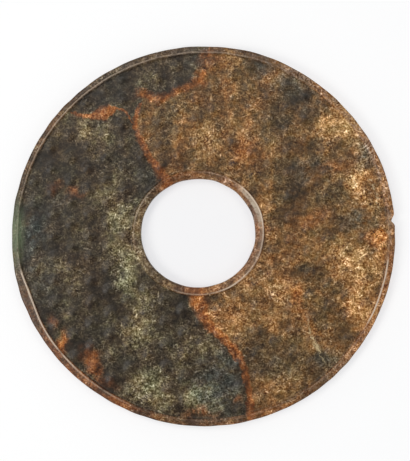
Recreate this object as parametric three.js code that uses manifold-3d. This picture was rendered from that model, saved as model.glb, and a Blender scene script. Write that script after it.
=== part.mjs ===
// Jade bi: a flat ritual disc carved from one piece of mottled nephrite.
// A smooth rim runs round the outer edge and another round the central hole. Each rim ends in a
// narrow raised ridge, and the sunken field between the ridges carries rows of low grain bosses.
// Millimetres, +Z up. The disc lies flat on its ridges, with its underside at z = 0.

import * as THREE from 'three';
import { mergeGeometries, mergeVertices } from 'three/addons/utils/BufferGeometryUtils.js';
import Module from 'manifold-3d';

const wasm = await Module();
wasm.setup();

// ---- driving dimensions --------------------------------------------------------------------

const THICKNESS = 5.5;          // over the ridges of both faces
const OUTER_RADIUS = 75;
const HOLE_RADIUS = 22;
const FIELD_DEPTH = 0.7;        // from the ridge tops down to the field
const OUTER_RIM_WIDTH = 2.35;   // from the outer edge to the middle of the ridge
const INNER_RIM_WIDTH = 2.8;    // from the hole's edge to the middle of the ridge
const RIDGE_TOP = 0.5;          // flat width on top of a ridge
const RIDGE_FOOT = 1.3;         // width of a ridge where it meets rim and field
const RIM_STEP = 0.22;          // from the ridge tops down to the rims
const EDGE_DROP = 0.85;         // height of the worn edge of a rim
const EDGE_INSET = 0.5;         // width of the worn edge of a rim

const OUTER_STRETCH = [1.004, 0.996];     // the disc is a little wider than it is high
const HOLE_STRETCH = [1.0245, 0.971];     // and so is the hole
const HOLE_OFFSET = [-2.1, 1.25];         // the hole was drilled a little off the middle
const RING_SIDES = 72;

// Slow swells of the hand-ground outline: direction in degrees, height, and half-width in degrees.
const OUTLINE_SWELLS = [
  { at: 24, height: 0.35, spread: 12 },
  { at: 72, height: 0.25, spread: 10 },
  { at: -50, height: 0.25, spread: 14 },
  { at: -125, height: -0.28, spread: 18 },
  { at: -164, height: 0.25, spread: 9 },
];

// Places where the outer rim is wider or narrower than elsewhere.
const RIM_SWELLS = [
  { at: -140, height: 0.5, spread: 26 },
  { at: 155, height: -0.35, spread: 28 },
];

const GRAIN_COLUMN_STEP = 7.17;   // between neighbouring columns of bosses
const GRAIN_ROW_STEP = 8.74;      // between bosses of one column
const GRAIN_TURN = 1.3;           // degrees by which the columns lean
const GRAIN_START = [-1.57, 1.83];
const GRAIN_RADIUS = 2.6;
const GRAIN_HEIGHT = 0.58;
const GRAIN_SIDES = 6;
const GRAIN_SIDES_BELOW = 4;
const GRAIN_ROOT = 0.3;           // how far a boss's own solid reaches down into the disc
const GRAIN_CLEARANCE = 1.2;      // from a boss's middle to the ridges

const CHIP_DIRECTION = 5.5;       // degrees
const CHIP_DEPTH = 1.7;
const CHIP_WIDTH = 2.8;

const JADE = new THREE.MeshStandardMaterial({ color: 0x6b5a40, roughness: 0.3, metalness: 0 });

// ---- helpers -------------------------------------------------------------------------------

function toManifold(geometry) {
  const bare = geometry.clone();
  bare.deleteAttribute('normal');
  bare.deleteAttribute('uv');
  const merged = mergeVertices(bare, 1e-4);
  return new wasm.Manifold(new wasm.Mesh({
    numProp: 3,
    vertProperties: new Float32Array(merged.attributes.position.array),
    triVerts: new Uint32Array(merged.index.array),
  }));
}

function toGeometry(manifold) {
  const { vertProperties, triVerts } = manifold.getMesh();
  const geometry = new THREE.BufferGeometry();
  geometry.setAttribute('position', new THREE.BufferAttribute(vertProperties, 3));
  geometry.setIndex(new THREE.BufferAttribute(triVerts, 1));
  geometry.computeVertexNormals();
  return geometry;
}

function sumOfSwells(swells, angle) {
  return swells.reduce((sum, { at, height, spread }) => {
    const turn = angle - THREE.MathUtils.degToRad(at);
    const away = Math.atan2(Math.sin(turn), Math.cos(turn));
    return sum + height * Math.exp(-((away / THREE.MathUtils.degToRad(spread)) ** 2));
  }, 0);
}

// ---- the turned disc -----------------------------------------------------------------------

const RIDGE_OUTER = OUTER_RADIUS - OUTER_RIM_WIDTH;
const RIDGE_INNER = HOLE_RADIUS + INNER_RIM_WIDTH;

// One face from the hole to the outer edge, as [radius, depth below the ridge tops].
function faceProfile() {
  return [
    [HOLE_RADIUS, EDGE_DROP + RIM_STEP],
    [HOLE_RADIUS + 0.3 * EDGE_INSET, 0.4 * EDGE_DROP + RIM_STEP],
    [HOLE_RADIUS + 1.5 * EDGE_INSET, RIM_STEP],
    [RIDGE_INNER - RIDGE_FOOT / 2, RIM_STEP],
    [RIDGE_INNER - RIDGE_TOP / 2, 0],
    [RIDGE_INNER + RIDGE_TOP / 2, 0],
    [RIDGE_INNER + RIDGE_FOOT / 2, FIELD_DEPTH],
    [RIDGE_OUTER - RIDGE_FOOT / 2, FIELD_DEPTH],
    [RIDGE_OUTER - RIDGE_TOP / 2, 0],
    [RIDGE_OUTER + RIDGE_TOP / 2, 0],
    [RIDGE_OUTER + RIDGE_FOOT / 2, RIM_STEP],
    [OUTER_RADIUS - 1.5 * EDGE_INSET, RIM_STEP],
    [OUTER_RADIUS - 0.3 * EDGE_INSET, 0.4 * EDGE_DROP + RIM_STEP],
    [OUTER_RADIUS, EDGE_DROP + RIM_STEP],
  ];
}

// Moves a point of the turned disc to its place on the hand-made one: oval, with its hole aside.
function handMade(x, y) {
  const radius = Math.hypot(x, y);
  const angle = Math.atan2(y, x);
  const outward = THREE.MathUtils.smoothstep(radius, HOLE_RADIUS, OUTER_RADIUS);
  const rimShare = THREE.MathUtils.smoothstep(radius, RIDGE_INNER, RIDGE_OUTER)
    * (1 - THREE.MathUtils.smoothstep(radius, RIDGE_OUTER, OUTER_RADIUS));
  const grown = radius + outward * sumOfSwells(OUTLINE_SWELLS, angle)
    - rimShare * sumOfSwells(RIM_SWELLS, angle);
  const [px, py] = [grown * Math.cos(angle), grown * Math.sin(angle)];
  return [
    THREE.MathUtils.lerp(HOLE_OFFSET[0] + HOLE_STRETCH[0] * px, OUTER_STRETCH[0] * px, outward),
    THREE.MathUtils.lerp(HOLE_OFFSET[1] + HOLE_STRETCH[1] * py, OUTER_STRETCH[1] * py, outward),
  ];
}

function turnedDisc() {
  const face = faceProfile();
  const upper = face.map(([radius, depth]) => new THREE.Vector2(radius, THICKNESS - depth));
  const lower = face.map(([radius, depth]) => new THREE.Vector2(radius, depth)).reverse();
  const closed = [...upper, ...lower, upper[0].clone()];
  const geometry = new THREE.LatheGeometry(closed.reverse(), RING_SIDES);
  geometry.rotateX(Math.PI / 2);
  const position = geometry.attributes.position;
  for (let i = 0; i < position.count; i += 1) {
    const [x, y] = handMade(position.getX(i), position.getY(i));
    position.setXY(i, x, y);
  }
  return toManifold(geometry);
}

// ---- the grain bosses ----------------------------------------------------------------------

// Where the staggered columns of bosses fall inside the field.
function grainPlaces() {
  const places = [];
  const lean = THREE.MathUtils.degToRad(GRAIN_TURN);
  const columns = Math.ceil(OUTER_RADIUS / GRAIN_COLUMN_STEP);
  const rows = Math.ceil(OUTER_RADIUS / GRAIN_ROW_STEP);
  for (let column = -columns; column <= columns; column += 1) {
    const stagger = Math.abs(column % 2) / 2;
    for (let row = -rows; row <= rows; row += 1) {
      const along = column * GRAIN_COLUMN_STEP;
      const up = (row + stagger) * GRAIN_ROW_STEP;
      const x = GRAIN_START[0] + along * Math.cos(lean) - up * Math.sin(lean);
      const y = GRAIN_START[1] + along * Math.sin(lean) + up * Math.cos(lean);
      const fromHole = Math.hypot(x - HOLE_OFFSET[0], y - HOLE_OFFSET[1]);
      const clearOfHole = fromHole > RIDGE_INNER + RIDGE_FOOT / 2 + GRAIN_CLEARANCE;
      const clearOfEdge = Math.hypot(x, y) < RIDGE_OUTER - RIDGE_FOOT / 2 - GRAIN_CLEARANCE;
      if (clearOfHole && clearOfEdge) {
        places.push([x, y]);
      }
    }
  }
  return places;
}

// All the bosses of one face, each a low faceted cone with its root inside the disc.
function grains(sides, faceUp) {
  const fieldHeight = THICKNESS - FIELD_DEPTH;
  const slope = GRAIN_RADIUS / GRAIN_HEIGHT;
  const height = GRAIN_HEIGHT + GRAIN_ROOT;
  const cones = grainPlaces().map(([x, y]) => {
    const cone = new THREE.ConeGeometry(slope * height, height, sides);
    cone.rotateX(Math.PI / 2);
    cone.translate(0, 0, fieldHeight - GRAIN_ROOT + height / 2);
    if (!faceUp) {
      cone.rotateX(Math.PI);
      cone.translate(0, 0, THICKNESS);
    }
    cone.translate(x, y, 0);
    return cone;
  });
  return toManifold(mergeGeometries(cones));
}

// ---- the chip in the outer edge ------------------------------------------------------------

function chipCutter() {
  const reach = CHIP_WIDTH / 2;
  const cutter = new THREE.CylinderGeometry(reach, reach, 2 * THICKNESS, 8);
  cutter.rotateX(Math.PI / 2);
  cutter.scale(CHIP_DEPTH / reach, 1, 1);
  cutter.translate(OUTER_RADIUS * OUTER_STRETCH[0], 0, THICKNESS / 2);
  cutter.rotateZ(THREE.MathUtils.degToRad(CHIP_DIRECTION));
  return toManifold(cutter);
}

// ---- assembly ------------------------------------------------------------------------------

const carved = turnedDisc()
  .add(grains(GRAIN_SIDES, true))
  .add(grains(GRAIN_SIDES_BELOW, false))
  .subtract(chipCutter());

const disc = new THREE.Mesh(toGeometry(carved), JADE);
disc.name = 'jade_disc';

const bi = new THREE.Group();
bi.add(disc);

export default bi;
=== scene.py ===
# Jade bi: a flat ritual disc of mottled nephrite, dark green on one side and golden brown on the
# other, parted by rust-red seams. Smooth rims with a fine raised ridge, and rows of grain bosses.

import math

import bmesh
import bpy
import numpy as np
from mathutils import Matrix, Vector


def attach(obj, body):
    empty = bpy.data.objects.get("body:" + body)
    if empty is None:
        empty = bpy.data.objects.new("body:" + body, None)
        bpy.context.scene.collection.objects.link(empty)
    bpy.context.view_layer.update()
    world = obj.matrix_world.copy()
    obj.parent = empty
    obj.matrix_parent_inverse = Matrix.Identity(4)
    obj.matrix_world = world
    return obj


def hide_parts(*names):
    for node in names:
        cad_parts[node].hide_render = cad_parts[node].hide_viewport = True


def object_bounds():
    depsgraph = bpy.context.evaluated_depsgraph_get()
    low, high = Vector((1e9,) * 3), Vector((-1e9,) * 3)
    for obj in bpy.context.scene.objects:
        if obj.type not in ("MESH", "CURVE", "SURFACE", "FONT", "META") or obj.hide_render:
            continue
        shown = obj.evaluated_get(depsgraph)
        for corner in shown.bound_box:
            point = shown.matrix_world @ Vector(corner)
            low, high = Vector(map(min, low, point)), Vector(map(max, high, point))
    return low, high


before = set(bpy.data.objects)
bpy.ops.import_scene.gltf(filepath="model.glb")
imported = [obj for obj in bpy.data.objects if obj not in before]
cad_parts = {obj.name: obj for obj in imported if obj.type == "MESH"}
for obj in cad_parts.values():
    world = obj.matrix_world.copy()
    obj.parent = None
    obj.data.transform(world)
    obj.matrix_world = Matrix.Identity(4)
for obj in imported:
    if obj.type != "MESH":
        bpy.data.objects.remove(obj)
cadLow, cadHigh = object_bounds()
mm = 0.001


# Small helpers for shapes and colours

def smooth(low, high, value):
    t = np.clip((value - low) / (high - low), 0, 1)
    return t * t * (3 - 2 * t)


def blend(a, b, share):
    return a + (b - a) * share


def ripple(x, y, wavelength, seed):
    # A smooth uneven surface about -1 to 1: a few sine waves in seeded directions
    waves = 7
    rng = np.random.default_rng(seed)
    total = np.zeros_like(x)
    for _ in range(waves):
        heading, phase = rng.uniform(0, 2 * math.pi, 2)
        length = wavelength * rng.uniform(0.7, 1.4)
        along = x * math.cos(heading) + y * math.sin(heading)
        total += np.sin(2 * math.pi * along / length + phase)
    return total / math.sqrt(waves)


def linearColour(red, green, blue):
    # Colours are written as a maker reads them on screen, 0 to 255
    def straighten(level):
        level /= 255
        return level / 12.92 if level <= 0.04045 else ((level + 0.055) / 1.055) ** 2.4
    return (straighten(red), straighten(green), straighten(blue), 1.0)


# The disc and its bosses, all in millimetres

shape = {
    "outerRadius": 75.0,
    "holeRadius": 22.0,
    "thickness": (cadHigh.z - cadLow.z) / mm,
    "outerRidge": 72.65,          # radius of the middle of each ridge
    "innerRidge": 24.8,
    "ridgeTop": 0.36,             # width of its top, and of its foot towards the rim and the field
    "ridgeFoot": 1.3,
    "fieldFoot": 1.9,
    "rimDrop": 0.2,               # ridge tops down to the rim beside them
    "edgeDrop": 0.34,             # ridge tops down to the rim's own edge
    "fieldDepth": 0.7,            # and down to the field
    "edgeRound": 0.75,            # how far each corner of the section is rounded
    "rimRound": 0.25,
    "topRound": 0.12,
    "fieldRound": 0.3,
    "outerStretch": (1.0038, 0.995),   # the outline and the hole are a little oval
    "holeStretch": (1.0245, 0.971),
    "holeOffset": (-2.1, 1.25),
    "outlineSwells": [            # direction in degrees, height, half-width in degrees
        (24, 0.35, 12), (72, 0.25, 10), (-50, 0.22, 12), (-125, -0.28, 18), (-164, 0.25, 9)],
    "rimSwells": [(-140, 0.4, 26), (-161, 1.1, 8), (155, -0.35, 28)],   # where the rim is wider
    "innerSlopes": [(28, 1.0, 20)],   # where the hole's rim falls away from its ridge
    "slopeDrop": 0.5,
    "slopeWidth": 1.4,
    "slopeShift": 0.45,           # and how far the ridge moves outwards there
    "edgeReach": (1.2, 2.6),      # how far in from an edge its wandering fades out
    "ringSteps": 540,             # spokes round the ring
    "fieldCuts": {"upper": 74, "lower": 36},   # rings of points across the field
    "shortCut": 0.65,             # length of the pieces that the rest of the section is cut into
    "ridgeReach": 1.5,            # how far a ridge's wandering is felt beside it
    "ridgeWander": (0.06, 11, 3),      # unevenness: height, wavelength, seed
    "edgeWander": (0.07, 7, 4),
    "fieldWaves": (0.045, 16, 5),
    "ridgeWear": (0.08, 13, 6),
    "rimWaves": (0.04, 9, 7),
}

grain = {
    "columnStep": 7.17,
    "rowStep": 8.74,              # between the bosses of one column
    "turn": 1.3,                  # degrees that the columns lean
    "start": (-1.57, 1.83),       # middle of one boss
    "radius": 2.75,
    "height": 0.58,
    "undersideShare": 0.8,        # how high the underside's bosses are against the upper ones
    "clearance": 0.9,             # from a ridge's foot to the middle of the nearest boss
    "shifted": 0.12,              # how much the bosses differ in place, size and height
    "wider": 0.04,
    "taller": 0.1,
    "seed": 11,
}

chip = {
    "direction": 4.9,
    "depth": 1.25,
    "halfWidth": 1.9,             # below its middle, and above it
    "upperHalfWidth": 2.9,
    "reach": 3.4,                 # how far in from the outer radius the rim gives way to it
    "lip": 0.08,                  # the outline swells a little on both sides of the chip
    "lipPlace": 1.5,              # in half-widths of the chip
    "lipWidth": 0.45,
    "roughness": (0.1, 1.3, 8),   # of the broken stone: height, wavelength, seed
    "spall": 0.4,                 # flaked off both faces behind it
    "spallWidth": 0.9,
    "spallReach": (2.6, 1.0),     # how far in from the outer radius it starts and is whole
    "weave": (0.12, 1.7),         # how its sides weave through the thickness
    "crowding": 0.6,              # how much closer the ring's spokes stand here
    "crowdingWidth": 6.0,
}


def swellSum(swells, angle):
    # How far the ring swells in each direction
    total = np.zeros_like(angle)
    for at, height, spread in swells:
        away = np.angle(np.exp(1j * (angle - math.radians(at))))
        total += height * np.exp(-(away / math.radians(spread)) ** 2)
    return total


def faceCorners():
    # One face from the hole to the outer edge: radius, depth below the ridge tops, rounding
    top, foot, fieldFoot = shape["ridgeTop"] / 2, shape["ridgeFoot"] / 2, shape["fieldFoot"] / 2
    inner, outer = shape["innerRidge"], shape["outerRidge"]
    rim, edge, field = shape["rimDrop"], shape["edgeDrop"], shape["fieldDepth"]
    return [
        (shape["holeRadius"], edge, shape["edgeRound"]),
        (inner - foot, rim, shape["rimRound"]),
        (inner - top, 0.0, shape["topRound"]),
        (inner + top, 0.0, shape["topRound"]),
        (inner + fieldFoot, field, shape["fieldRound"]),
        (outer - fieldFoot, field, shape["fieldRound"]),
        (outer - top, 0.0, shape["topRound"]),
        (outer + top, 0.0, shape["topRound"]),
        (outer + foot, rim, shape["rimRound"]),
        (shape["outerRadius"], edge, shape["edgeRound"]),
    ]


def turnDisc():
    # The cross-section is drawn with sharp corners, rounded, and spun into a ring
    bm = bmesh.new()
    corners = faceCorners()
    thick = shape["thickness"]
    upper = [(r, 0, thick - depth) for r, depth, _ in corners]
    lower = [(r, 0, depth) for r, depth, _ in corners]
    loop = [bm.verts.new(place) for place in upper + lower[::-1]]
    for a, b in zip(loop, loop[1:] + loop[:1]):
        bm.edges.new((a, b))
    for places, segments in ((upper, 2), (lower, 1)):
        for place, (_, _, size) in zip(places, corners):
            corner = min(bm.verts, key=lambda v: (v.co - Vector(place)).length)
            bmesh.ops.bevel(bm, geom=[corner], offset=size, affect="VERTICES", profile=0.5, material=-1,
                            segments=segments + 2 * (size == shape["edgeRound"]))
    for edge in bm.edges[:]:
        length = edge.calc_length()
        isUpper = min(v.co.z for v in edge.verts) > thick / 2
        cuts = int(length / shape["shortCut"])
        if length > (shape["outerRidge"] - shape["innerRidge"]) / 2:
            cuts = shape["fieldCuts"]["upper" if isUpper else "lower"]
        if cuts > 0:
            bmesh.ops.subdivide_edges(bm, edges=[edge], cuts=cuts)
    bmesh.ops.spin(bm, geom=bm.verts[:] + bm.edges[:], cent=(0, 0, 0), axis=(0, 0, 1),
                   angle=2 * math.pi, steps=shape["ringSteps"], use_merge=True)
    bmesh.ops.recalc_face_normals(bm, faces=bm.faces[:])
    return bm


def crowdAngles(angle):
    # More of the ring's spokes stand at the chip, so that its sides stay crisp
    away = np.degrees(np.angle(np.exp(1j * (angle - math.radians(chip["direction"])))))
    pulled = away * (1 - chip["crowding"] * np.exp(-(away / chip["crowdingWidth"]) ** 2))
    return math.radians(chip["direction"]) + np.radians(pulled)


def handMade(radius, angle):
    # From the turned ring to the hand-ground one: a little oval, with its hole aside
    outward = smooth(shape["holeRadius"], shape["outerRadius"], radius)
    rimShare = smooth(shape["innerRidge"], shape["outerRidge"], radius)
    rimShare = rimShare * (1 - smooth(shape["outerRidge"], shape["outerRadius"], radius))
    grown = radius + outward * swellSum(shape["outlineSwells"], angle)
    grown = grown - rimShare * swellSum(shape["rimSwells"], angle)
    x = grown * np.cos(angle)
    y = grown * np.sin(angle)
    holeX = shape["holeOffset"][0] + shape["holeStretch"][0] * x
    holeY = shape["holeOffset"][1] + shape["holeStretch"][1] * y
    return (blend(holeX, shape["outerStretch"][0] * x, outward),
            blend(holeY, shape["outerStretch"][1] * y, outward))


def grainRelief(x, y):
    # Height of the boss at each place: staggered columns, every boss a little different
    lean = math.radians(grain["turn"])
    dx = x - grain["start"][0]
    dy = y - grain["start"][1]
    across = dx * math.cos(lean) + dy * math.sin(lean)
    along = dy * math.cos(lean) - dx * math.sin(lean)
    column = np.round(across / grain["columnStep"]).astype(int)
    stagger = np.abs(column % 2) / 2
    row = np.round(along / grain["rowStep"] - stagger).astype(int)
    rows = 24                     # more than the disc has, so that no two bosses share their draws
    uneven = np.random.default_rng(grain["seed"]).normal(0, 1, (4, rows, rows))
    shiftX, shiftY, wider, taller = np.clip(uneven[:, column % rows, row % rows], -2, 2)
    siteAcross = column * grain["columnStep"]
    siteAlong = (row + stagger) * grain["rowStep"]
    siteX = grain["start"][0] + siteAcross * math.cos(lean) - siteAlong * math.sin(lean)
    siteY = grain["start"][1] + siteAcross * math.sin(lean) + siteAlong * math.cos(lean)
    foot = shape["fieldFoot"] / 2 + grain["clearance"]
    fromHole = np.hypot(siteX - shape["holeOffset"][0], siteY - shape["holeOffset"][1])
    carved = (fromHole > shape["innerRidge"] + foot)
    carved &= (np.hypot(siteX, siteY) < shape["outerRidge"] - foot)
    away = np.hypot(x - siteX - grain["shifted"] * shiftX, y - siteY - grain["shifted"] * shiftY)
    size = grain["radius"] * (1 + grain["wider"] * wider)
    dome = np.clip(1 - (away / size) ** 2, 0, 1) ** 1.5
    return carved * grain["height"] * (1 + grain["taller"] * taller) * dome


def keepOnPoints(bm, name, *values):
    # Three numbers for each point, for the material to read
    layer = bm.verts.layers.float_vector.new(name)
    for vert, numbers in zip(bm.verts, np.stack(values, axis=1)):
        vert[layer] = numbers


def unevenness(name, x, y, level=0.0):
    # One of the shape's slow waves, counted from a level of the ripple
    height, wavelength, seed = shape[name]
    return height * (ripple(x, y, wavelength, seed) - level)


def reliefOf(radius, x, y, height, nearRidge, slope):
    # How far each point is raised outwards, its height above the field, and whether it is on a face
    thick = shape["thickness"]
    isUpper = height > thick / 2
    onFace = smooth(0.9, 0.4, np.where(isUpper, thick - height, height))
    fieldStart = shape["innerRidge"] + shape["fieldFoot"] / 2
    fieldEnd = shape["outerRidge"] - shape["fieldFoot"] / 2
    fade = 0.5                    # over which the field's relief begins beside a ridge
    inField = smooth(fieldStart, fieldStart + fade, radius)
    inField = inField * (1 - smooth(fieldEnd - fade, fieldEnd, radius))
    raised = inField * grainRelief(x, y) * np.where(isUpper, 1.0, grain["undersideShare"])
    raised += inField * unevenness("fieldWaves", x, y)
    wear = np.clip(unevenness("ridgeWear", x, y, 0.2), 0, shape["ridgeWear"][0])
    raised -= np.clip(nearRidge, 0, 1) * (1 - inField) * wear
    onRim = onFace * (1 - inField) * (1 - np.clip(nearRidge * 1.5, 0, 1))
    raised += onRim * unevenness("rimWaves", x, y, 1.0)
    fallen = np.clip((shape["innerRidge"] - 0.2 - radius) / shape["slopeWidth"], 0, 1)
    raised -= onFace * slope * shape["slopeDrop"] * fallen
    relief = raised + np.where(isUpper, height - thick, -height) + shape["fieldDepth"]
    return raised, relief, onFace


def biteChip(x, y, height, onFace, isUpper):
    # The chip in the outer edge, counted in its own half-widths from its middle
    reach = np.hypot(x, y)
    along = (np.arctan2(y, x) - math.radians(chip["direction"])) * shape["outerRadius"]
    along = along / np.where(along > 0, chip["upperHalfWidth"], chip["halfWidth"])
    along = along + chip["weave"][0] * np.sin(height * chip["weave"][1])
    bite = chip["depth"] * (1 - smooth(0.1, 1.0, np.abs(along)))
    lip = chip["lip"] * np.exp(-((np.abs(along) - chip["lipPlace"]) / chip["lipWidth"]) ** 2)
    rough, wavelength, seed = chip["roughness"]
    rough = rough * ripple(x + height, y - height, wavelength, seed) * np.exp(-along ** 2)
    share = smooth(shape["outerRadius"] - chip["reach"], shape["outerRadius"] + 0.2, reach)
    moved = reach - share * (bite - lip + rough)
    spallStart, spallEnd = (shape["outerRadius"] - inwards for inwards in chip["spallReach"])
    spall = chip["spall"] * np.exp(-(along / chip["spallWidth"]) ** 2)
    spall = spall * smooth(spallStart, spallEnd, reach)
    height = np.clip(height - onFace * np.where(isUpper, spall, -spall), 0, shape["thickness"])
    return x * moved / reach, y * moved / reach, height


def carveDisc(bm):
    points = np.array([vert.co for vert in bm.verts])
    radius = np.hypot(points[:, 0], points[:, 1])
    angle = crowdAngles(np.arctan2(points[:, 1], points[:, 0]))
    height = points[:, 2]
    isUpper = height > shape["thickness"] / 2
    ringX = radius * np.cos(angle)
    ringY = radius * np.sin(angle)

    # Worn and wandering lines, uneven edges
    nearInner = np.exp(-((radius - shape["innerRidge"]) / shape["ridgeReach"]) ** 2)
    nearOuter = np.exp(-((radius - shape["outerRidge"]) / shape["ridgeReach"]) ** 2)
    nearRidge = nearInner + nearOuter
    fromEdge = np.minimum(radius - shape["holeRadius"], shape["outerRadius"] - radius)
    atEdge = 1 - smooth(*shape["edgeReach"], fromEdge)
    slope = swellSum(shape["innerSlopes"], angle)
    movedRadius = radius + nearRidge * unevenness("ridgeWander", ringX, ringY)
    movedRadius = movedRadius + atEdge * unevenness("edgeWander", ringX, ringY)
    movedRadius = movedRadius + nearInner * slope * shape["slopeShift"]
    x, y = handMade(movedRadius, angle)

    raised, relief, onFace = reliefOf(radius, x, y, height, nearRidge, slope)
    height = height + np.where(isUpper, raised, -raised)
    x, y, height = biteChip(x, y, height, onFace, isUpper)
    for vert, place in zip(bm.verts, np.stack([x, y, height], axis=1) * mm):
        vert.co = place
    keepOnPoints(bm, "turned", ringX, ringY, relief)
    return angle, radius


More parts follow.
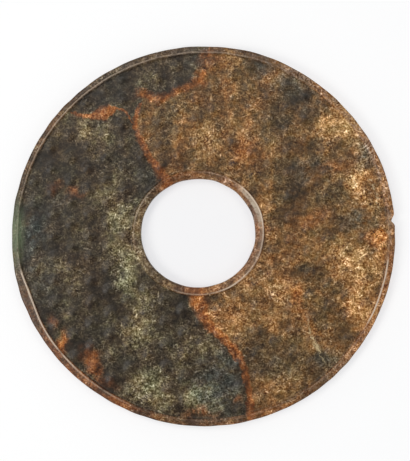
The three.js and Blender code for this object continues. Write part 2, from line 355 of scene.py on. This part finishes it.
# Marks painted on the disc's points: patches of other stone, and how its rims change round the ring
marks = {
    "strays": [(1.5, 18, 21, 23), (0.8, 5, 22, 24)],   # how far patches stray, wavelength, two seeds
    "lighter": [    # across, up, half-width, half-height, turn in degrees, how much lighter
        (-35, 9, 9, 12, 0, 0.28), (-30, -9, 10, 10, 0, 0.21), (-32, -17, 7, 9, 0, 0.16),
        (-24, -37, 7, 16, 0, 0.28), (-22, -61, 12, 10, 0, 0.36), (-1, -64, 10, 8, 0, 0.34),
        (-42, 41, 10, 9, 0, 0.22), (-54, 30, 13, 13, 0, -0.14), (-56, -5, 9, 10, 0, -0.08),
        (-38, 57, 16, 10, 35, -0.1), (-9, -45, 14, 12, 0, 0.08), (-16, 64, 12, 7, 20, 0.1),
        (-28, -21, 11, 8, -30, 0.24), (-12, 32, 9, 7, 0, -0.25), (25, 11, 5, 8, 0, 0.2),
        (56, 43, 13, 11, -40, 0.37), (63, 17, 9, 14, 0, 0.22), (60, -9, 15, 12, 0, 0.28),
        (64, -28, 8, 12, 0, 0.22), (16, -28, 17, 11, 10, 0.09), (30, -20, 10, 8, 0, 0.22),
        (-1, 37, 13, 11, 0, 0.18), (17, 52, 9, 9, 0, 0.08), (31, -59, 10, 8, 0, 0.16),
        (26, 44, 8, 11, 0, -0.06), (38, 52, 11, 11, 0, -0.14), (38, 14, 15, 12, 0, -0.11),
        (22, -47, 18, 12, 0, -0.06), (51, -52, 8, 7, 0, -0.06), (-16, 41, 9, 11, 0, -0.04),
        (61, 24, 9, 8, 40, 0.3), (58, -27, 7, 10, -15, 0.26), (70, -1, 4, 15, 0, 0.24),
        (36, -15, 10, 6, 0, -0.23), (67, 2, 6, 3, 0, 0.16), (27, -35, 4, 4, 0, 0.2),
        (39, 50, 5, 4, 0, 0.1), (21, 67, 6, 5, 0, -0.1), (-3, 64, 9, 8, 0, -0.08),
        (-55, -41, 4, 5, 20, 0.22), (-4, -25, 4, 5, 0, 0.24), (3, -24, 5, 4, 0, -0.36),
        (11, -46, 5, 10, 30, 0.13), (-40, 48, 5, 3, 0, 0.1), (18, -68, 4, 4, 0, -0.12)],
    "olivePatches": [           # where the brown stone turns olive
        (24, -47, 22, 13, 8, 0.6), (51, -50, 9, 8, 0, 0.6), (-17, 42, 7, 13, 0, 0.55),
        (27, 44, 9, 13, 0, 0.45), (36, 57, 12, 11, -30, 0.5), (39, 15, 16, 13, 0, 0.15),
        (31, -57, 12, 9, 0, 0.3), (26, -23, 12, 10, 0, 0.25), (62, 30, 7, 6, 0, 0.3)],
    "slatePatches": [             # where the stone turns blue-grey
        (-66.9, 1.2, 7, 16, 0, 1.0), (6.4, -57.7, 12, 16, -20, 0.8), (-4, 70.6, 10, 5, 0, 0.6),
        (21, 67, 6, 5, -40, 0.8), (35, 60, 12, 7, -30, 0.5),
        (39, 50, 8, 7, 0, 0.4), (63, 33, 6, 6, 0, 0.7), (60, 6, 7, 5, 0, 0.7),
        (40, 26, 12, 7, 20, 0.5), (-58, 12, 7, 8, 0, 0.4), (51, -50, 8, 7, 0, 0.45),
        (-62, -20, 8, 16, 0, 0.4), (-38, 57, 16, 8, 35, 0.35), (-21, 20, 6, 14, 30, 0.45)],
    "rustPatches": [              # and where iron has stained it
        (-54.6, -41.5, 3, 5, 20, 1.0), (-43, -50.5, 4, 7, 10, 1.0), (-61, -34, 3, 3, 0, 0.6),
        (-49, 17, 4, 3, 0, 0.6), (-58, 20, 5, 3, 0, 0.35), (3.4, 69.5, 6, 4, 0, 0.5),
        (-0.5, 62.5, 3, 5, 0, 0.8), (66.7, 0.5, 7, 3.5, 0, 0.8), (-2, -69.5, 10, 2.5, 5, 0.4),
        (-37, -57, 6, 3, -35, 0.5), (71, -2, 3, 14, 0, 0.35),
        (37, -24, 3, 10, 30, 0.5), (16, 33, 8, 8, 0, 0.4), (52, 28, 12, 4, 30, 0.35),
        (12, -64, 3, 3, 0, 0.4), (43, 8, 10, 5, 20, 0.35)],
    "palePatches": [(73.2, 6.4, 1.6, 3.4, 0, 0.8)],    # bruised white by the chip
    "greenPatches": [(-73.3, 1.5, 3.4, 15, 0, 1.0)],
    "outerWarmth": [  # direction in degrees, how russet the outer rim is
        (-180, 0), (-172, 0), (-155, 0.6), (-145, 0.85), (-120, 0.85), (-98, 0.25), (-77, 0.5),
        (-60, 0.25), (-15, 0.5), (0, 0.35), (60, 0.2), (90, 0.1), (120, 0.1), (150, 0.35),
        (172, 0), (180, 0)],
    "innerWarmth": [
        (-180, 0.1), (-130, 0.1), (-110, 0.35), (-92, 0.9), (-80, 0.35), (-60, 0.2), (-15, 0.5),
        (15, 0.6), (60, 0.35), (105, 0.4), (114, 0.85), (126, 0.8), (134, 0.2), (180, 0.1)],
    "outerTone": [    # direction, how light each rim is
        (-180, 0.46), (-165, 0.34), (-135, 0.31), (-105, 0.42), (-75, 0.38), (-30, 0.52), (30, 0.56),
        (45, 0.64), (60, 0.45), (75, 0.36), (120, 0.38), (135, 0.33), (180, 0.46)],
    "innerTone": [
        (-180, 0.5), (-135, 0.5), (-90, 0.41), (-60, 0.46), (-45, 0.4), (-30, 0.23), (15, 0.32),
        (45, 0.46), (90, 0.41), (105, 0.36), (135, 0.46), (150, 0.39), (180, 0.5)],
    "outerShine": [   # direction, how bright the highlight painted on the ridge's crest is
        (-180, 0.1), (-170, 0.15), (-168, 0.8), (-143, 0.75), (-141, 0.2), (-139, 0.75), (-135, 0.6),
        (-133, 0.35), (-120, 0.3), (-112, 0.1), (-60, 0.1), (-29, 0.15), (-26, 0.9), (-9, 0.9),
        (-6, 0.1), (30, 0.1), (60, 0.1), (90, 0.25), (145, 0.35), (160, 0.2), (180, 0.1)],
    "innerShine": [
        (-180, 0.2), (-165, 0.0), (-125, 0.0), (-105, 0.3), (-75, 0.35), (-60, 0.8), (-45, 0.6),
        (-30, 0.35), (0, 0.6), (11, 1.0), (44, 0.95), (52, 0.2), (75, 0.2), (90, 0.1), (105, 0.0),
        (140, 0.15), (150, 0.35), (180, 0.2)],
    "innerSlopeHighlight": [    # direction, how strong the highlight painted on the slope inside the hole's ridge is
        (-180, 0), (-60, 0), (-45, 0.05), (5, 0.2), (12, 0.6), (30, 0.95), (44, 0.85), (50, 0.2),
        (60, 0), (180, 0)],
    "dust": [         # direction, how pale and dusty the rims are
        (-180, 0.1), (-100, 0.05), (-60, 0.1), (-20, 0.15), (60, 0.28), (75, 0.15), (150, 0.05),
        (180, 0.1)],
}


def patchSum(patches, x, y):
    # The strengths of the patches that reach each point, added up
    total = np.zeros_like(x)
    for centreX, centreY, width, tall, turn, amount in patches:
        lean = math.radians(turn)
        across = ((x - centreX) * math.cos(lean) + (y - centreY) * math.sin(lean)) / width
        up = ((y - centreY) * math.cos(lean) - (x - centreX) * math.sin(lean)) / tall
        total += amount * (1 - smooth(0.0, 1.25, np.hypot(across, up)))
    return total


def markDisc(bm, angle, radius):
    points = np.array([vert.co for vert in bm.verts]) / mm
    x, y = points[:, 0], points[:, 1]
    strayX, strayY = x, y
    for far, wavelength, acrossSeed, upSeed in marks["strays"]:
        strayX = strayX + far * ripple(x, y, wavelength, acrossSeed)
        strayY = strayY + far * ripple(x, y, wavelength, upSeed)
    lighter, slate, rust, olive = (patchSum(marks[name], strayX, strayY) for name in
                                   ("lighter", "slatePatches", "rustPatches", "olivePatches"))
    green, pale = (patchSum(marks[name], x, y) for name in ("greenPatches", "palePatches"))
    keepOnPoints(bm, "stoneMarks", lighter, slate, rust)
    keepOnPoints(bm, "tints", olive, green, pale)

    def byDirection(name):
        # A value that changes round the ring, read from its drawn list
        return np.interp((np.degrees(angle) + 180) % 360 - 180, *zip(*marks[name]))

    isOuter = radius > (shape["innerRidge"] + shape["outerRidge"]) / 2
    tone, warmth, shine = (np.where(isOuter, byDirection("outer" + name), byDirection("inner" + name))
                           for name in ("Tone", "Warmth", "Shine"))
    keepOnPoints(bm, "rims", tone, warmth, byDirection("dust"))
    # painted highlights round the ring: on the ridge crests, and on the slope inside the hole's ridge
    keepOnPoints(bm, "crest", shine, byDirection("innerSlopeHighlight"), np.zeros_like(shine))


def makeDisc():
    bm = turnDisc()
    angle, radius = carveDisc(bm)
    markDisc(bm, angle, radius)
    for face in bm.faces:
        face.smooth = True
    bm.normal_update()
    mesh = bpy.data.meshes.new("jadeDisc")
    bm.to_mesh(mesh)
    bm.free()
    disc = bpy.data.objects.new("jadeDisc", mesh)
    bpy.context.scene.collection.objects.link(disc)
    print("disc:", len(mesh.polygons) * 2, "triangles")
    return disc


# Node graphs: a socket that does arithmetic, and one maker for every other node

class Value:
    def __init__(self, graph, socket):
        self.graph = graph
        self.socket = socket

    def math(self, operation, *others):
        inputs = dict(enumerate((self,) + others))
        return self.graph.node("ShaderNodeMath", {"operation": operation}, inputs)

    def __add__(self, other):
        return self.math("ADD", other)

    def __mul__(self, other):
        return self.math("MULTIPLY", other)

    def __sub__(self, other):
        return self.math("SUBTRACT", other)

    def __truediv__(self, other):
        return self.math("DIVIDE", other)

    def reflected(self, operation, other):
        return self.graph.node("ShaderNodeMath", {"operation": operation}, {0: other, 1: self})

    def __rsub__(self, other):
        return self.reflected("SUBTRACT", other)

    def __rtruediv__(self, other):
        return self.reflected("DIVIDE", other)

    __radd__ = __add__
    __rmul__ = __mul__


class Graph:
    def __init__(self, owner):
        owner.use_nodes = True
        self.tree = owner.node_tree
        self.tree.nodes.clear()

    def node(self, kind, settings=None, inputs=None, output=0):
        made = self.tree.nodes.new(kind)
        for name, value in (settings or {}).items():
            if name == "stops":
                self.setStops(made, value)
            elif name == "curve":
                self.setCurve(made, value)
            else:
                setattr(made, name, value)
        for key, value in (inputs or {}).items():
            if isinstance(value, Value):
                self.tree.links.new(value.socket, made.inputs[key])
            else:
                made.inputs[key].default_value = value
        return Value(self, made.outputs[output]) if made.outputs else made

    @staticmethod
    def setStops(made, stops):
        elements = made.color_ramp.elements
        while len(elements) < len(stops):
            elements.new(0.5)
        for element, (position, colour) in zip(elements, stops):
            element.position = position
            element.color = colour

    @staticmethod
    def setCurve(made, points):
        line = made.mapping.curves[0]
        while len(line.points) < len(points):
            line.points.new(0.5, 0.5)
        for point, (across, up) in zip(line.points, points):
            point.location = (across, up)
            point.handle_type = "AUTO_CLAMPED"
        made.mapping.update()

    def noise(self, vector, size, detail, roughness=0.55, output="Fac"):
        # size is the width of the largest blotches, in the units of the vector
        return self.node("ShaderNodeTexNoise", {}, {
            "Vector": vector, "Scale": 1 / size, "Detail": detail, "Roughness": roughness}, output)

    def broken(self, vector, size, low, high, least=0.0, most=1.0, detail=2, roughness=0.7):
        # How much is left of a mark that noise of this size breaks up
        return self.step(low, high, self.noise(vector, size, detail, roughness), least, most)

    def stray(self, vector, size, detail, roughness, far):
        # A push of up to half this distance, different from place to place
        cloud = self.noise(vector, size, detail, roughness, output="Color")
        return self.scaled(self.vector("SUBTRACT", cloud, (0.5, 0.5, 0.5)), far)

    def vector(self, operation, *others, output=0):
        return self.node("ShaderNodeVectorMath", {"operation": operation}, dict(enumerate(others)), output)

    def scaled(self, vector, factor):
        return self.node("ShaderNodeVectorMath", {"operation": "SCALE"}, {0: vector, "Scale": factor})

    def parts(self, vector):
        split = self.node("ShaderNodeSeparateXYZ", inputs={0: vector})
        return [Value(self, output) for output in split.socket.node.outputs]

    def painted(self, name):
        # The three numbers kept on the disc's points under this name
        return self.parts(self.node("ShaderNodeAttribute", {"attribute_name": name}, output="Vector"))

    def blend(self, share, a, b):
        # The Mix node's sockets go by number, because several share a name
        return self.node("ShaderNodeMix", {"data_type": "FLOAT"}, {0: share, 2: a, 3: b})

    def step(self, low, high, value, start=0.0, end=1.0):
        return self.node("ShaderNodeMapRange", {"interpolation_type": "SMOOTHSTEP"}, {
            "Value": value, "From Min": low, "From Max": high, "To Min": start, "To Max": end})

    def ramp(self, value, stops):
        return self.node("ShaderNodeValToRGB", {"stops": stops}, {"Fac": value})

    def mix(self, share, a, b):
        return self.node("ShaderNodeMix", {"data_type": "RGBA"}, {0: share, 6: a, 7: b}, 2)

    def line(self, value, points):
        # A drawn line from one place in millimetres to another, up to 80 on both sides of 0
        span = 160.0
        shares = [(a / span + 0.5, b / span + 0.5) for a, b in points]
        drawn = self.node("ShaderNodeFloatCurve", {"curve": shares}, {"Value": value / span + 0.5})
        return (drawn - 0.5) * span


# Colours and marks of the stone

stone = {
    "dark": [(0.0, (22, 16, 10)), (0.2, (46, 36, 24)), (0.4, (76, 64, 43)), (0.6, (118, 107, 72)),
             (0.8, (176, 167, 124)), (1.0, (226, 220, 190))],
    "brown": [(0.0, (34, 24, 12)), (0.2, (66, 47, 25)), (0.4, (107, 77, 40)), (0.6, (158, 113, 60)),
              (0.8, (214, 163, 100)), (1.0, (248, 222, 180))],
    "rust": [(0.0, (56, 31, 15)), (0.25, (114, 63, 26)), (0.5, (176, 101, 40)), (0.7, (212, 137, 62)),
             (0.85, (230, 176, 120)), (1.0, (242, 206, 160))],
    "slate": [(0.0, (18, 20, 20)), (0.2, (38, 42, 41)), (0.4, (62, 70, 67)), (0.6, (92, 102, 92)),
              (0.8, (136, 146, 130)), (1.0, (196, 204, 186))],
    "dustColour": (170, 158, 152),
    "greenColour": (112, 130, 100),
    "flawColour": (242, 218, 170),
    "scratchColour": (214, 196, 160),
    "bruiseColour": (206, 178, 148),
    # the colour of the highlight painted on the slope inside the hole's ridge
    "slopeHighlightColour": (206, 190, 170),
    # the colour of the highlight painted on the ridge crests
    "crestHighlightColour": (236, 216, 196),
    "darkTone": 0.305,            # how light each stone is before its patches
    "brownTone": 0.42,
    "border": (-0.8, 1.2),        # millimetres over which the dark stone gives way to the brown
    "slowStray": 4.0,             # millimetres that drawn marks stray, over 14 mm and over 3 mm
    "quickStray": 4.0,
    "clouds": 1.2,                # how strong: clouds 13 mm wide and less
    "rimStreaks": 0.4,            # and streaks that run round the rims
    "grit": 1.0,                  # and speckle that keeps the hue: grit, fine grit, fibres, flecks
    "fineGrit": 1.22,
    "fibres": 0.2,
    "flecks": 0.62,
    "fleckTurns": (25, 85, 150),  # directions in degrees that the flecks lie in
    "fleckLength": 2.6,           # millimetres from one fleck to the next
    "fleckWidth": 0.7,
    "blackest": (0.04, 0.035, 0.03),   # what the speckle leaves at the least
    "cool": (0.9, 1.02, 1.08, 1),      # how far the tint strays to both sides
    "warm": (1.14, 0.97, 0.88, 1),
    "tintSpread": 3.0,
    "seam": [       # up, across: the rust seam that parts the dark stone from the brown one
        (-80, 20.5), (-69.4, 18.8), (-63.1, 18), (-56.4, 16.7), (-49.7, 14.3), (-42.6, 10.4),
        (-36.8, 4.1), (-33.6, 1.3), (-28.9, -1), (-20.3, -3.4), (0, -9), (21, -14), (23.3, -15.9),
        (26.9, -17.8), (30, -20.2), (32.7, -22.2), (37.5, -24.7), (42, -26.4), (46, -26.6),
        (52, -24.6), (58, -23.6), (80, -20)],
    "seamWidth": [  # up, half-width
        (-80, 1.5), (-68, 1.4), (-61, 1.1), (-52, 1.3), (-47, 1.7), (-41, 2.2), (-35, 2.3),
        (-30, 2.7), (-20, 3.8), (0, 3), (20, 3.4), (24, 2.4), (31, 1.8), (36, 1.5), (42, 1.1),
        (46, 0.9), (49, 0.7), (52, 0.3), (54, 0), (80, 0)],
    "topSeam": [    # across, up: its upper branch, where dark stone lies over brown
        (-80, 40), (-36, 46), (-30, 52), (-24.2, 57.1), (-17.9, 54.7), (-14.4, 55.9), (-11.2, 57.9),
        (-8.5, 59.2), (-5.3, 60.4), (-2.2, 61.3), (-0.4, 62.6), (0.8, 66), (1.7, 70.4), (2.6, 79),
        (80, 80)],
    "branch": [     # across, up: a rust branch that runs on to the left
        (-80, 49), (-51, 49), (-48.5, 47.6), (-45, 47), (-41, 47.6), (-38, 48.6), (-35, 49.8),
        (-32, 49.4), (-29, 46), (-26, 41), (80, 41)],
    "branchWidth": [
        (-80, 0), (-52, 0), (-50, 0.9), (-46, 0.8), (-41.5, 2.1), (-38, 2.3), (-36, 1.2), (-33, 0.4),
        (-30.5, 0.6), (-28, 0.7), (-26, 0), (80, 0)],
    "flaw": [       # up, across: a pale crack in the lower right
        (-80, 70), (-53, 51.2), (-48, 47.6), (-45.5, 46), (-41.5, 44), (-38, 42.3), (-33, 41.5),
        (-28, 41.8), (80, 50)],
    "flawWidth": [
        (-80, 0), (-54, 0), (-53, 0.3), (-47, 0.32), (-45.5, 0.5), (-43, 0.62), (-40, 0.65),
        (-37.5, 0.45), (-33, 0.3), (-28, 0), (80, 0)],
    "scratch": [      # up, across: feathery scratches by the right-hand rim
        (-80, 70), (8, 69), (12, 68.1), (17, 66.9), (22, 65.1), (26, 64), (80, 60)],
    "scratchWidth": [(-80, 0), (9, 0), (11, 0.35), (17, 0.5), (22, 0.4), (25, 0), (80, 0)],
    "roughness": 0.42,
    "ridgeRoughness": 0.24,
    "refraction": 1.42,
    "pitDepth": 0.03,             # millimetres
}


def vein(g, along, beside, centre, width):
    # Share of a vein: 1 on its drawn line, fading to 0 past its drawn half-width
    off = (beside - g.line(along, stone[centre])).math("ABSOLUTE")
    wide = g.line(along, stone[width]).math("MAXIMUM", 0.02)
    return g.step(1.5, 0.5, off / wide) * g.step(0.02, 0.3, wide)


def ringPlaces(g):
    # Where on the turned ring: rims, ridges, the slope inside the hole's ridge, streaks round them
    ringX, ringY, relief = g.painted("turned")
    radius = (ringX * ringX + ringY * ringY).math("SQRT")
    onOuter = g.step(shape["outerRidge"] - 0.9, shape["outerRidge"] - 0.3, radius)
    onInner = g.step(shape["innerRidge"] + 0.9, shape["innerRidge"] + 0.3, radius)
    fromOuter = (radius - shape["outerRidge"]).math("ABSOLUTE")
    fromInner = (radius - shape["innerRidge"]).math("ABSOLUTE")
    streaked = g.node("ShaderNodeCombineXYZ", inputs={0: ringX * 0.22, 1: ringY * 0.22, 2: radius * 1.6})
    return {
        "relief": relief,
        "onRim": onOuter + onInner,
        "onRidge": g.step(0.45, 0.15, fromOuter.math("MINIMUM", fromInner)),
        "onSlope": g.step(1.7, 1.3, fromInner) * g.step(0.25, -0.1, radius - shape["innerRidge"]),
        "streaked": streaked,
        "streaks": g.noise(streaked, 1.0, 3, 0.8),
    }


def needles(g, places, turn):
    # Pale flecks about 2 mm long that lie in one direction
    lean = math.radians(turn)
    fromLeft, fromFront, fromBelow = places
    along = fromLeft * math.cos(lean) + fromFront * math.sin(lean)
    beside = fromFront * math.cos(lean) - fromLeft * math.sin(lean)
    lying = g.node("ShaderNodeCombineXYZ", inputs={
        0: along / stone["fleckLength"], 1: beside / stone["fleckWidth"], 2: fromBelow})
    return g.broken(lying, 1.0, 0.62, 0.76, detail=1)


def speckled(g, place, grit, lighter, tone):
    # Grit in two sizes, felted fibres and pale flecks, livelier in some places
    fineGrit = g.noise(place, 0.62, 0) - 0.5
    curled = g.vector("ADD", place, g.stray(place, 2.6, 2, 0.55, 5.0))
    felt = g.step(0.06, 0.0, (g.noise(curled, 2.4, 2, 0.6) - 0.5).math("ABSOLUTE"))
    felt = felt * g.broken(place, 2.2, 0.42, 0.62)
    places = g.parts(place)
    flecks, *others = (needles(g, places, turn) for turn in stone["fleckTurns"])
    for other in others:
        flecks = flecks.math("MAXIMUM", other)
    speckle = grit * stone["grit"] + fineGrit * stone["fineGrit"]
    speckle = speckle + felt * stone["fibres"] + flecks * stone["flecks"]
    lively = g.broken(place, 8, 0.3, 0.7, 0.6, 1.1) + lighter * 0.5
    return speckle * lively * tone.math("MAXIMUM", 0.15)


def rusted(g, place, across, up, fromTop, patches):
    # How far iron has stained the seams and patches of the field
    inSeam = vein(g, up, across, "seam", "seamWidth")
    inBranch = vein(g, across, up, "branch", "branchWidth")
    belowTop = g.step(1.4, 0.3, (fromTop - 0.6).math("ABSOLUTE") / 2.0)
    topRust = belowTop * g.step(-30, -22, across) * g.step(6, 2, across)
    breaks = g.noise(place, 3, 3, 0.8)
    stained = inSeam.math("MAXIMUM", inBranch) * g.step(0.25, 0.5, breaks, 0.6, 0.95)
    blotches = topRust.math("MAXIMUM", patches * 1.6)
    stained = stained.math("MAXIMUM", blotches * g.step(0.3, 0.55, breaks, 0.15, 0.9))
    return stained * g.broken(place, 1.3, 0.3, 0.55, 0.65, roughness=0.9)


def paleMarks(g, place, up, across, ring, green, pale):
    # The green corner of the rim, the crack, scratches, the bruise by the chip, and highlights painted on
    # the slope inside the hole's ridge and on the ridge crests
    flaw = vein(g, up, across, "flaw", "flawWidth") * g.broken(place, 1.1, 0.4, 0.55, roughness=0.8)
    flaw = flaw * g.step(0.2, 0.9, g.line(up, stone["flawWidth"]), 0.25, 0.9)
    scratch = vein(g, up, across, "scratch", "scratchWidth") * g.broken(place, 1.2, 0.45, 0.6)
    # painted highlights: along the ridge crests, and on the slope inside the hole's ridge
    shine, slopeHighlight = g.painted("crest")[:2]
    slopeHighlight = slopeHighlight * ring["onSlope"] * g.broken(place, 1.4, 0.3, 0.6, 0.35, roughness=0.8)
    crestHighlight = ring["onRidge"] * g.step(0.45, 0.65, ring["relief"]) * shine
    crestHighlight = crestHighlight * g.step(0.35, 0.6, ring["streaks"] + shine * 0.3)
    return [
        (green * g.step(0.3, 0.55, ring["streaks"]), "greenColour"),
        (flaw, "flawColour"),
        (scratch * 0.7, "scratchColour"),
        (pale * g.broken(place, 1.2, 0.3, 0.6), "bruiseColour"),
        (slopeHighlight, "slopeHighlightColour"),
        (crestHighlight, "crestHighlightColour"),
    ]


def makeStone():
    material = bpy.data.materials.new("jade")
    g = Graph(material)
    place = g.scaled(g.node("ShaderNodeTexCoord", output="Object"), 1 / mm)
    slow = g.stray(place, 14, 3, 0.6, stone["slowStray"])
    quick = g.stray(place, 3.2, 3, 0.7, stone["quickStray"])
    across, up = g.parts(g.vector("ADD", place, g.vector("ADD", slow, quick)))[:2]
    ring = ringPlaces(g)
    lighter, slate, rust = g.painted("stoneMarks")
    olive, green, pale = g.painted("tints")
    rimTone, warmth, dust = g.painted("rims")

    # Which stone: dark green left of the seam and above its branch, brown elsewhere
    fromSeam = across - g.line(up, stone["seam"])
    fromTop = g.line(across, stone["topSeam"]) - up
    brownShare = g.step(*stone["border"], fromSeam) * g.step(*stone["border"], fromTop)

    # How light the stone is: clouds of every size and patches, and its own tones on the rims
    clouds = g.noise(place, 13, 3, 1.0) - 0.5
    tone = clouds * stone["clouds"] + lighter + g.blend(brownShare, stone["darkTone"], stone["brownTone"])
    rimTone = rimTone + (ring["streaks"] - 0.5) * stone["rimStreaks"] + clouds
    tone = g.blend(ring["onRim"], tone, rimTone)

    def coloured(name):
        return g.ramp(tone, [(at, linearColour(*colour)) for at, colour in stone[name]])

    colour = g.mix(brownShare * (1.0 - olive), coloured("dark"), coloured("brown"))
    colour = g.mix(slate * g.broken(place, 6, 0.3, 0.6, detail=3), colour, coloured("slate"))
    tint = (g.noise(place, 11, 2, 0.85) - 0.5) * stone["tintSpread"] + 0.5
    colour = g.vector("MULTIPLY", colour, g.mix(tint, stone["cool"], stone["warm"]))

    # Rust in the field and on the rims, and dust on the rims
    blotched = g.noise(ring["streaked"], 2.2, 2, 0.7) + g.noise(place, 2, 2, 0.8)
    warmth = warmth * ring["onRim"] * g.step(0.75, 1.15, blotched, 0.3, 1.0)
    stained = rusted(g, place, across, up, fromTop, rust)
    colour = g.mix(stained.math("MAXIMUM", warmth), colour, coloured("rust"))
    dust = dust * ring["onRim"] * g.broken(place, 1.6, 0.35, 0.65, roughness=0.8)
    colour = g.mix(dust, colour, linearColour(*stone["dustColour"]))

    # The speckle is added to the colour as the eye sees it, so that its hue stays
    grit = g.noise(place, 1.5, 1, 1.0) - 0.5
    seen = g.node("ShaderNodeGamma", {}, {"Color": colour, "Gamma": 1 / 2.2})
    seen = g.vector("ADD", seen, speckled(g, place, grit, lighter, tone))
    seen = g.vector("MAXIMUM", seen, stone["blackest"])
    colour = g.node("ShaderNodeGamma", {}, {"Color": seen, "Gamma": 2.2})
    for share, name in paleMarks(g, place, up, across, ring, green, pale):
        colour = g.mix(share, colour, linearColour(*stone[name]))

    pits = g.node("ShaderNodeBump", {}, {
        "Strength": 1.0, "Distance": stone["pitDepth"] * mm, "Height": grit + clouds})
    roughness = g.blend(ring["onRidge"], stone["roughness"] + clouds * 0.3, stone["ridgeRoughness"])
    finish = g.node("ShaderNodeBsdfPrincipled", {}, {
        "Base Color": colour, "Roughness": roughness, "IOR": stone["refraction"], "Normal": pits})
    g.node("ShaderNodeOutputMaterial", inputs={"Surface": finish})
    return material


# Stage, light and camera

studio = {
    "floorRadius": 4.0,
    "floorColour": (0.45, 0.45, 0.45, 1.0),
    "floorRoughness": 0.9,
    "floorSpecular": 0.1,
    "floorGlow": 0.67,            # most of its brightness is its own glow, so that shadows stay faint
    "glowShadedUnder": (0.864, 0.875, 0.916, 1.0),   # dimmer and bluer under the disc, as painted shade on the floor in the hole
    "glowBeyond": (0.981, 0.996, 1.023, 1.0),
    "glowReach": (0.03, 0.1),     # metres from the middle between which it changes
    "roomColour": (0.88, 0.94, 1.0, 1.0),
    "roomStrength": 0.13,
    "viewHeight": 181.1,          # millimetres shown from top to bottom, at the disc's edge
    "lens": 100.0,
    "sensor": 36.0,
    "aim": (0.55, 2.32),          # millimetres from the disc's middle
    "lampDistance": 1.0,
    "lampColour": (1.0, 0.96, 0.89),
    "lamps": [                    # direction and height in degrees, width, power
        (198, 50, 0.4, 3.1), (136, 64, 0.36, 2.0), (45, 66, 0.3, 0.9), (345, 50, 0.5, 0.9),
        (270, 42, 0.6, 0.6), (90, 42, 0.6, 0.6)],
}


def makeFloor():
    bm = bmesh.new()
    bmesh.ops.create_circle(bm, cap_ends=True, radius=studio["floorRadius"], segments=96)
    mesh = bpy.data.meshes.new("floor")
    bm.to_mesh(mesh)
    bm.free()
    floor = bpy.data.objects.new("floor", mesh)
    floor.location.z = cadLow.z
    bpy.context.scene.collection.objects.link(floor)
    material = bpy.data.materials.new("floor")
    g = Graph(material)
    fromMiddle = g.vector("LENGTH", g.node("ShaderNodeTexCoord", output="Object"), output="Value")
    # the glow is dimmer and bluer under the disc: painted shade on the floor in the hole
    glow = g.mix(g.step(*studio["glowReach"], fromMiddle), studio["glowShadedUnder"], studio["glowBeyond"])
    finish = g.node("ShaderNodeBsdfPrincipled", {}, {
        "Base Color": studio["floorColour"], "Roughness": studio["floorRoughness"],
        "Specular IOR Level": studio["floorSpecular"],
        "Emission Color": glow, "Emission Strength": studio["floorGlow"]})
    g.node("ShaderNodeOutputMaterial", inputs={"Surface": finish})
    mesh.materials.append(material)


def makeLight():
    world = bpy.data.worlds.new("room")
    bpy.context.scene.world = world
    g = Graph(world)
    room = g.node("ShaderNodeBackground", {}, {
        "Color": studio["roomColour"], "Strength": studio["roomStrength"]})
    g.node("ShaderNodeOutputWorld", inputs={"Surface": room})
    for number, (direction, height, width, power) in enumerate(studio["lamps"]):
        lamp = bpy.data.lights.new(f"lamp{number}", "AREA")
        lamp.size = width
        lamp.energy = power
        lamp.color = studio["lampColour"]
        holder = bpy.data.objects.new(lamp.name, lamp)
        turn, rise = math.radians(direction), math.radians(height)
        away = Vector((math.cos(turn) * math.cos(rise), math.sin(turn) * math.cos(rise), math.sin(rise)))
        holder.location = away * studio["lampDistance"]
        holder.rotation_euler = away.to_track_quat("Z", "Y").to_euler()
        bpy.context.scene.collection.objects.link(holder)


def makeCamera():
    lens = bpy.data.cameras.new("camera")
    lens.lens = studio["lens"]
    lens.sensor_width = studio["sensor"]
    lens.clip_start = 0.01
    camera = bpy.data.objects.new("camera", lens)
    distance = studio["viewHeight"] * studio["lens"] / studio["sensor"]
    edgeHeight = shape["thickness"] - shape["edgeDrop"] - shape["edgeRound"]
    camera.location = (studio["aim"][0] * mm, studio["aim"][1] * mm, (distance + edgeHeight) * mm)
    bpy.context.scene.collection.objects.link(camera)
    bpy.context.scene.camera = camera


bpy.context.scene.view_settings.view_transform = "Standard"
makeCamera()
makeFloor()
makeLight()
print("stage, light and camera made")

disc = makeDisc()
disc.data.materials.append(makeStone())
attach(disc, "root")
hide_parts("jade_disc")
print("stone made")
